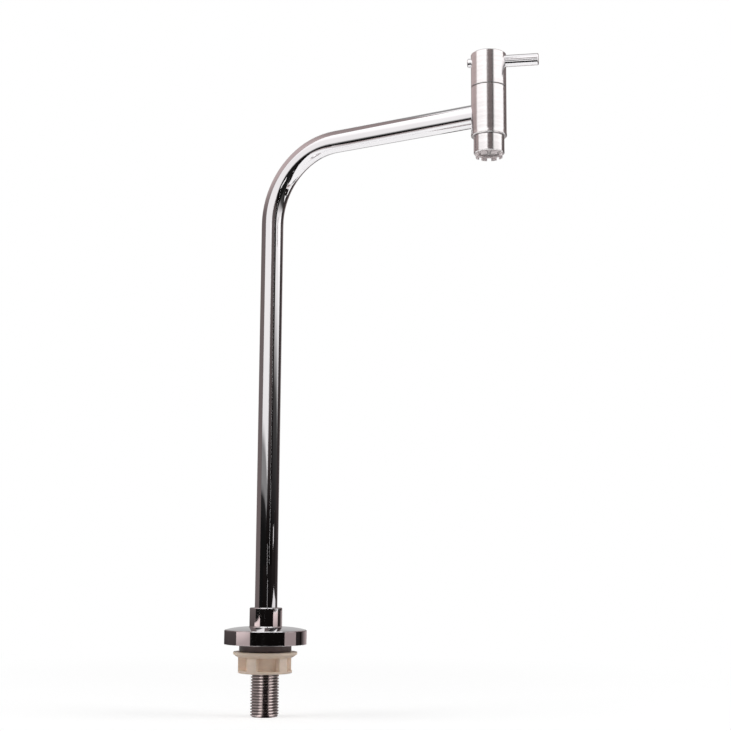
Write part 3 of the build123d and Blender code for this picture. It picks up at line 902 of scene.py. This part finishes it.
@finish("brass")
def bare_brass(f):
    """Turned brass with patches of brown tarnish."""
    turned = f.noise(f.mapped(scale=(12, 12, 1500)), 1.6, 2, 0.5)
    tarnish = f.noise(f.mapped(), 150, 4, 0.62)
    brown = (0.48, 0.31, 0.14, 1)
    edge_mask, rounded = f.edges(0.25 * MM)
    base = f.blend(f.spread(tarnish, 0.42, 0.72, 0, 1), f.tone(1.02), brown)
    f.set(
        # Painted highlight: the tint is lightened by 1.15 along the edges.
        Base_Color=f.rub(base, edge_mask, 0.6, 1.15),
        Metallic=1.0,
        Roughness=f.spread(f.plus(turned, tarnish), 0.7, 1.3, 0.2, 0.36),
        Normal=f.bump(turned, 0.012 * MM, rounded),
    )


@finish("ceramic")
def lapped_ceramic(f):
    """Lapped ceramic with small dark pores."""
    cloud = f.noise(f.mapped(), 300, 3, 0.5)
    pores = f.noise(f.mapped(), 5200, 2, 0.5)
    base = f.mottle(cloud, 0.3, 0.7, 0.95, 1.04)
    f.set(
        Base_Color=f.blend(f.spread(pores, 0.66, 0.74, 0, 0.35), base, f.tone(0.6)),
        Roughness=f.spread(f.plus(cloud, pores), 0.7, 1.3, 0.12, 0.24),
        Normal=f.bump(pores, 0.006 * MM),
    )


@finish("steel")
def spring_steel(f):
    """Drawn and pressed bright steel."""
    drawn = f.noise(f.mapped(scale=(1, 1, 3)), 1900, 3, 0.6)
    cloud = f.noise(f.mapped(), 320, 3, 0.55)
    edge_mask, rounded = f.edges(0.1 * MM)
    f.set(
        # Painted highlight: the tint is lightened by 1.25 along the edges.
        Base_Color=f.rub(f.mottle(cloud, 0.3, 0.7, 0.85, 1.1), edge_mask, 0.4, 1.25),
        Metallic=1.0,
        Roughness=f.spread(f.plus(drawn, cloud), 0.7, 1.3, 0.16, 0.3),
        Normal=f.bump(drawn, 0.006 * MM, rounded),
    )


def finish_nodes(names, material):
    """Puts the material on every slot of the named nodes."""
    for name in names:
        node = NODES[name]
        if not node.material_slots:
            node.data.materials.append(material)
        for row in node.material_slots:
            row.material = material


class TAP_OT_polished_pieces(bpy.types.Operator):
    """Gives the spout, the flange and the lever's pin their polished chrome"""

    bl_idname = "tap.polished_pieces"
    bl_label = "Polished Pieces"

    def execute(self, context):
        finish_nodes(POLISHED, polished_chrome())
        return {"FINISHED"}


class TAP_OT_satin_pieces(bpy.types.Operator):
    """Gives the head its satin chrome"""

    bl_idname = "tap.satin_pieces"
    bl_label = "Satin Head"

    def execute(self, context):
        finish_nodes(SATIN, satin_chrome())
        return {"FINISHED"}


class TAP_OT_hidden_shank(bpy.types.Operator):
    """Gives the plain shank, nut and screen the finishes of the pieces made for them"""

    bl_idname = "tap.hidden_shank"
    bl_label = "Plain Shank, Nut and Screen"

    def execute(self, context):
        finish_nodes(("threaded_shank",), plated_thread())
        finish_nodes(("back_nut",), cream_plastic())
        finish_nodes(("outlet_screen",), spring_steel())
        return {"FINISHED"}


class TAP_OT_rubber_pieces(bpy.types.Operator):
    """Gives the gasket, the rings and the washers their rubber"""

    bl_idname = "tap.rubber_pieces"
    bl_label = "Rubber Pieces"

    def execute(self, context):
        finish_nodes(RUBBER, black_rubber())
        return {"FINISHED"}


class TAP_OT_plastic_pieces(bpy.types.Operator):
    """Gives the bush, the washer, the flow disc and the insert their plastics"""

    bl_idname = "tap.plastic_pieces"
    bl_label = "Plastic Pieces"

    def execute(self, context):
        finish_nodes(WHITE_PLASTIC, white_plastic())
        finish_nodes(GREY_PLASTIC, grey_plastic())
        return {"FINISHED"}


class TAP_OT_valve_pieces(bpy.types.Operator):
    """Gives the valve its brass, ceramic and steel"""

    bl_idname = "tap.valve_pieces"
    bl_label = "Valve Pieces"

    def execute(self, context):
        finish_nodes(BRASS, bare_brass())
        finish_nodes(CERAMIC, lapped_ceramic())
        finish_nodes(STEEL, spring_steel())
        return {"FINISHED"}


# Stage

FLOOR = CAD_LOW.z
FLOOR_PAINT, FLOOR_GLOW, FLOOR_FADE = 0.8, 0.55, (0.2, 0.7)
WHITE, ROSE, BLUSH = (1.0, 0.985, 0.985), (1.0, 0.82, 0.81), (1.0, 0.93, 0.92)
SENSOR_WIDTH, CLIP_START = 36.0, 0.01

# Places on the stage are (right of the camera's line, towards the camera) in
# metres, with a height where there is a third number.
LAMPS = (("left_lamp", (-1.35, 0.35, 0.75)), ("right_lamp", (1.45, 0.25, 0.7)))
LAMP_WIDTH = 0.9

# Upright cards that only the metal sees, as in a studio for bright metal. The
# steps are (height, brightness), from the card's low edge to its high edge, and
# the fades are the lengths over which each end darkens.
LEFT_STEPS = (
    (FLOOR, 0.004), (0.10, 0.008), (0.126, 0.02), (0.135, 0.24), (0.176, 0.25), (0.186, 0.60),
    (0.199, 0.88), (0.30, 0.94), (0.44, 0.94), (0.52, 1.10), (0.68, 1.26), (1.7, 1.35),
)
RIGHT_STEPS = (
    (0.10, 0.01), (0.23, 0.06), (0.33, 0.86), (0.37, 0.90), (0.42, 1.18), (1.7, 1.45),
)
TIP_STEPS = ((0.146, 0.04), (0.158, 0.22), (0.18, 0.28), (0.204, 0.82), (0.62, 0.93))
LEFT_LOW_STEPS = ((FLOOR, 0.3), (-0.008, 0.42), (0.010, 0.95))
RIGHT_LOW_STEPS = ((FLOOR, 0.3), (-0.008, 0.33), (0.012, 0.85))
WALL_STEPS = ((-0.03, 0.5), (0.2, 0.5), (0.9, 0.34))
GAP_STEPS = (
    (FLOOR, 0.0), (0.15, 0.01), (0.3, 0.09), (0.6, 0.13), (0.8, 0.19), (1.7, 0.25),
)
FRONT_RIGHT_STEPS = ((FLOOR, 0.0), (0.4, 0.02), (1.7, 0.05))
LEFT_BACK_STEPS = (
    (FLOOR, 0.03), (-0.01, 0.08), (0.02, 0.16), (0.5, 0.16), (0.66, 0.5), (0.9, 0.55),
    (1.3, 0.34), (2.0, 0.25),
)
RIGHT_BACK_STEPS = ((FLOOR, 0.03), (0.5, 0.05), (0.9, 0.28), (1.8, 0.3))
FAR_STEPS = ((FLOOR, 0.15), (0.6, 0.3), (1.8, 0.4))
CARDS = (
    # name, one end, other end, tint, steps, fades
    ("left_soft", (-0.30, 0.10), (-0.145, 1.16), WHITE, LEFT_STEPS, (0.01, 0.10)),
    ("right_soft", (0.205, 0.235), (1.10, -0.14), WHITE, RIGHT_STEPS, (0.03, 0.02)),
    ("front_flag", (-0.28, 0.40), (0.30, 0.20), ROSE, ((FLOOR, 0.0), (0.06, 0.01)), (0, 0)),
    ("right_flag", (0.40, 0.27), (0.60, -0.10), ROSE, ((0.012, 0.01), (0.12, 0.02)), (0, 0)),
    ("left_tip", (-0.18, 1.165), (-0.066, 1.165), WHITE, TIP_STEPS, (0, 0.015)),
    ("high_tip", (-0.40, 1.165), (0.0, 1.165), WHITE, ((0.88, 1.2), (1.69, 1.2)), (0, 0.03)),
    ("left_low", (-0.25, 0.044), (-0.25, 0.32), ROSE, LEFT_LOW_STEPS, (0, 0)),
    ("right_low", (0.39, 0.262), (0.52, -0.045), ROSE, RIGHT_LOW_STEPS, (0, 0)),
    ("far_low", (0.52, -0.045), (0.44, -0.20), ROSE, ((FLOOR, 0.02), (0.014, 0.024)), (0, 0)),
    ("edge_low", (0.45, -0.19), (0.13, -0.50), ROSE, ((FLOOR, 0.45), (0.014, 0.5)), (0.4, 0)),
    ("back_wall", (-0.27, -0.90), (0.22, -1.00), WHITE, WALL_STEPS, (0, 0)),
    ("front_gap", (-0.55, 1.18), (0.62, 1.18), ROSE, GAP_STEPS, (0, 0.2)),
    ("front_right", (0.62, 1.15), (1.15, 0.7), ROSE, FRONT_RIGHT_STEPS, (0, 0)),
    ("left_back", (-0.75, 0.30), (-0.25, -0.90), ROSE, LEFT_BACK_STEPS, (0, 0.1)),
    ("right_back", (1.10, -0.14), (0.60, -0.85), ROSE, RIGHT_BACK_STEPS, (0, 0)),
    ("far_right", (0.60, -0.85), (0.20, -1.00), ROSE, FAR_STEPS, (0, 0.1)),
)
# Level cards above the tap and just over the floor.
LEVEL_CARDS = (
    # name, (left, right), (far, near), height, brightness
    ("left_top", (-1.3, 0.0), (-0.25, 1.6), 1.7, 1.0),
    ("right_top", (0.34, 1.5), (-0.25, 1.6), 1.71, 1.0),
    ("back_top", (-1.3, 1.5), (-1.4, -0.25), 1.72, 0.3),
    ("front_floor", (-0.32, 1.15), (0.31, 1.17), FLOOR + 0.4 * MM, 0.01),
    ("lever_light", (-0.09, 0.02), (0.70, 1.17), FLOOR + 0.5 * MM, 1.2),
    ("left_floor", (-1.2, -0.2), (-0.1, 0.9), FLOOR + 0.3 * MM, 0.68),
)
# Thin bright strips close to the tap.
STRIPS = (
    # name, one end, other end, width, brightness
    ("upper_line", (0.128, 0.238, 0.082), (0.164, 0.214, 0.135), 0.008, 0.2),
    ("side_line", (0.432, 0.157, 0.081), (0.431, 0.160, 0.102), 0.05, 0.8),
    ("faint_line", (0.432, 0.157, 0.102), (0.431, 0.160, 0.135), 0.03, 0.15),
    ("middle_line", (0.036, 0.268, 0.052), (0.035, 0.268, 0.079), 0.012, 0.45),
    ("foot_line", (0.069, 0.261, 0.022), (0.067, 0.262, 0.047), 0.012, 0.5),
)
# A bright wedge that shows at the column's foot: its corners and brightness.
WEDGE = (((0.495, 0.035, 0.037), (0.429, 0.191, 0.016), (0.452, -0.201, 0.016)), 0.8)
# A low band round the shank: radius, low and high edge, then (degrees to the
# right of the camera's line, brightness).
BAND = (
    0.06,
    (FLOOR + 0.2 * MM, -0.018),
    (
        (-180, 0.3), (-90, 0.5), (-42, 0.5), (-33, 1.8), (-19, 1.8), (-8, 0.02), (33, 0.02),
        (40, 1.6), (66, 1.5), (76, 0.3), (180, 0.3),
    ),
)


class Glow(Nodes):
    """The glowing material of a card."""

    def __init__(self, name, tint=WHITE, bright=1.0):
        super().__init__(bpy.data.materials.new(name))
        light = self.add("ShaderNodeEmission")
        light.inputs["Color"].default_value = (*tint, 1)
        self.strength = light.inputs["Strength"]
        self.strength.default_value = bright
        self.join(light.outputs[0], self.end)

    def ramp(self, value, stops):
        """Brightness that follows the (share, brightness) stops as value goes from 0 to 1."""
        node = self.add("ShaderNodeValToRGB")
        elements = node.color_ramp.elements
        while len(elements) < len(stops):
            elements.new(0.5)
        for element, (share, bright) in zip(elements, stops, strict=True):
            element.position = share
            element.color = (bright, bright, bright, 1)
        self.join(value, node.inputs[0])
        return node.outputs[0]


def spot(turn, right, near, up=0.0):
    """A place on the stage, measured from the camera's line."""
    return Matrix.Rotation(turn, 3, "Z") @ Vector((right, -near, up))


class TAP_OT_stage(bpy.types.Operator):
    """Sets the floor, the light, the reflecting cards and the camera"""

    bl_idname = "tap.stage"
    bl_label = "Stage"

    def execute(self, context):
        stage = context.scene.tap_stage
        turn = stage.camera_azimuth
        self.floor(stage)
        self.light(context.scene, stage, turn)
        for name, one, other, tint, steps, fades in CARDS:
            self.upright_card(name, spot(turn, *one), spot(turn, *other), tint, steps, fades)
        for name, (left, right), (far, near), height, bright in LEVEL_CARDS:
            middle = spot(turn, (left + right) / 2, (far + near) / 2, height)
            along, side = spot(turn, right - left, 0), spot(turn, 0, far - near)
            self.card(name, middle, along, side, Glow(name, bright=bright))
        for name, one, other, width, bright in STRIPS:
            one, other = spot(turn, *one), spot(turn, *other)
            out = Vector((one.x + other.x, one.y + other.y, 0))
            side = (other - one).cross(out).normalized() * width
            self.card(name, (one + other) / 2, other - one, side, Glow(name, bright=bright))
        self.wedge(turn)
        self.band(turn)
        self.camera(context.scene, stage, turn)
        return {"FINISHED"}

    def floor(self, stage):
        """The round floor at the height of the shank's end."""
        only_nothing()
        bpy.ops.mesh.primitive_circle_add(
            vertices=FLOOR_SIDES,
            radius=stage.floor_radius,
            fill_type="NGON",
            location=(0, 0, FLOOR),
        )
        floor = settle(fresh("floor"))
        floor.data.materials.append(self.floor_material())

    def floor_material(self):
        """Pale paint that keeps the shadow, white further out and clear from below."""
        f = Nodes(bpy.data.materials.new("pale_floor"))
        paint = f.add("ShaderNodeBsdfDiffuse")
        paint.inputs["Color"].default_value = (FLOOR_PAINT, FLOOR_PAINT, FLOOR_PAINT, 1)
        glow = f.add("ShaderNodeEmission")
        glow.inputs["Strength"].default_value = FLOOR_GLOW
        near = f.fill(f.add("ShaderNodeAddShader"), paint.outputs[0], glow.outputs[0])
        away = f.spread(f.measure("LENGTH", f.place()), *FLOOR_FADE, 0, 1, "SMOOTHSTEP")
        white = f.add("ShaderNodeEmission").outputs[0]
        seen = f.mix(f.seen_share(), paint.outputs[0], f.mix(away, near.outputs[0], white))
        below = f.add("ShaderNodeNewGeometry").outputs["Backfacing"]
        clear = f.add("ShaderNodeBsdfTransparent").outputs[0]
        f.join(f.mix(below, seen, clear), f.end)
        return f.owner

    def light(self, scene, stage, turn):
        """The even sky and the two soft lamps."""
        scene.world = bpy.data.worlds.new("studio")
        sky = Nodes(scene.world, "ShaderNodeOutputWorld")
        back = sky.add("ShaderNodeBackground")
        back.inputs["Color"].default_value = (1, 1, 1, 1)
        level = sky.spread(sky.seen_share(), 0, 1, stage.sky_level, 1)
        sky.join(level, back.inputs["Strength"])
        sky.join(back.outputs[0], sky.end)
        aim = (CAD_LOW + CAD_HIGH) / 2
        for name, place in LAMPS:
            lamp = bpy.data.lights.new(name, "AREA")
            lamp.shape = "SQUARE"
            lamp.size = LAMP_WIDTH
            lamp.energy = stage.lamp_power
            holder = bpy.data.objects.new(name, lamp)
            scene.collection.objects.link(holder)
            holder.location = spot(turn, *place)
            holder.rotation_euler = (aim - holder.location).to_track_quat("-Z", "Y").to_euler()
            holder.visible_glossy = False
            holder.visible_camera = False

    def reflected_only(self, piece, glow):
        """The piece glows, and shows in reflections and nowhere else."""
        piece.data.materials.append(glow.owner)
        piece.visible_camera = False
        piece.visible_diffuse = False
        piece.visible_transmission = False
        piece.visible_volume_scatter = False
        piece.visible_shadow = False

    def card(self, name, middle, along, side, glow):
        """A card with its length and width as vectors from edge to edge."""
        only_nothing()
        bpy.ops.mesh.primitive_plane_add(size=1)
        card = fresh(name)
        pose = Matrix((along, side, along.cross(side).normalized())).transposed().to_4x4()
        pose.translation = middle
        card.matrix_world = pose
        self.reflected_only(settle(card), glow)

    def upright_card(self, name, one, other, tint, steps, fades):
        """A card from one end to the other, as bright as its steps and fades say."""
        low, high = steps[0][0], steps[-1][0]
        glow = Glow(name, tint)
        parts = glow.fill(glow.add("ShaderNodeSeparateXYZ"), glow.place())
        rise = glow.spread(parts.outputs["Z"], low, high, 0, 1)
        # The ramp holds shares of the brightest step, which is multiplied in after it.
        top = max(bright for _, bright in steps)
        stops = [((height - low) / (high - low), bright / top) for height, bright in steps]
        level = glow.calc("MULTIPLY", glow.ramp(rise, stops), top)
        ahead = (other - one).normalized()
        away = glow.measure("DOT_PRODUCT", glow.place(), ahead)
        for edge, width in ((one.dot(ahead), fades[0]), (other.dot(ahead), -fades[1])):
            if width:
                share = glow.spread(away, edge, edge + width, 0, 1, "SMOOTHSTEP")
                level = glow.calc("MULTIPLY", level, share)
        glow.join(level, glow.strength)
        middle = (one + other) / 2 + Vector((0, 0, (low + high) / 2))
        self.card(name, middle, other - one, Vector((0, 0, high - low)), glow)

    def wedge(self, turn):
        """The bright wedge that shows at the column's foot."""
        corners, bright = WEDGE
        only_nothing()
        bpy.ops.mesh.primitive_circle_add(vertices=3, fill_type="NGON")
        wedge = fresh("wedge")
        for vertex, corner in zip(wedge.data.vertices, corners, strict=True):
            vertex.co = spot(turn, *corner)
        self.reflected_only(wedge, Glow("wedge", bright=bright))

    def band(self, turn):
        """The low band round the shank and the disc that closes it below."""
        radius, (low, high), steps = BAND
        glow = Glow("foot_band", BLUSH)
        around = glow.add("ShaderNodeTexGradient", gradient_type="RADIAL")
        glow.join(glow.mapped(turn=(0, 0, math.pi / 2 - turn)), around.inputs["Vector"])
        stops = [(degrees / 360 + 0.5, bright) for degrees, bright in steps]
        glow.join(glow.ramp(around.outputs["Fac"], stops), glow.strength)
        band = cylinder("foot_band", BAND_SIDES, radius, low, high, ends="NOTHING")
        self.reflected_only(band, glow)
        only_nothing()
        bpy.ops.mesh.primitive_circle_add(
            vertices=BAND_SIDES, radius=radius, fill_type="NGON", location=(0, 0, low)
        )
        self.reflected_only(settle(fresh("foot_disc")), glow)

    def camera(self, scene, stage, turn):
        """The camera at the photograph's place and angle."""
        pitch, roll = stage.camera_pitch, stage.camera_roll
        right = spot(turn, 1, 0)
        ahead = spot(turn, 0, -math.cos(pitch), math.sin(pitch))
        up = right.cross(ahead)
        across = right * math.cos(roll) + up * math.sin(roll)
        above = up * math.cos(roll) - right * math.sin(roll)
        lens = bpy.data.cameras.new("camera")
        lens.sensor_width = SENSOR_WIDTH
        lens.lens = stage.camera_lens
        lens.clip_start = CLIP_START
        camera = bpy.data.objects.new("camera", lens)
        scene.collection.objects.link(camera)
        view = Matrix((across, above, -ahead)).transposed().to_4x4()
        view.translation = Vector(stage.camera_place)
        camera.matrix_world = view
        scene.camera = camera


# Panel

OPERATORS = (
    TAP_OT_stage,
    TAP_OT_shank_thread,
    TAP_OT_back_nut,
    TAP_OT_outlet_screen,
    TAP_OT_polished_pieces,
    TAP_OT_satin_pieces,
    TAP_OT_hidden_shank,
    TAP_OT_rubber_pieces,
    TAP_OT_plastic_pieces,
    TAP_OT_valve_pieces,
)
GROUPS = (
    ("tap_sizes", TapSizes),
    ("tap_colours", TapColours),
    ("tap_stage", TapStage),
)


class TAP_PT_deck_tap(bpy.types.Panel):
    """Lists the tap's pieces, finishes and stage"""

    bl_idname = "TAP_PT_deck_tap"
    bl_label = "Deck Tap"
    bl_space_type = "VIEW_3D"
    bl_region_type = "UI"
    bl_category = "Deck Tap"

    def draw(self, context):
        layout = self.layout
        for group, kind in GROUPS:
            box = layout.box()
            for name in kind.__annotations__:
                box.prop(getattr(context.scene, group), name)
        for operator in OPERATORS:
            layout.operator(operator.bl_idname)


def register():
    for group, kind in GROUPS:
        bpy.utils.register_class(kind)
        setattr(bpy.types.Scene, group, PointerProperty(type=kind))
    for kind in (*OPERATORS, TAP_PT_deck_tap):
        bpy.utils.register_class(kind)


def unregister():
    for kind in reversed((*OPERATORS, TAP_PT_deck_tap)):
        bpy.utils.unregister_class(kind)
    for group, kind in reversed(GROUPS):
        delattr(bpy.types.Scene, group)
        bpy.utils.unregister_class(kind)


def main():
    register()
    bpy.context.scene.view_settings.view_transform = "Standard"
    for operator in OPERATORS:
        group, name = operator.bl_idname.split(".")
        getattr(getattr(bpy.ops, group), name)()


if __name__ == "__main__":
    main()
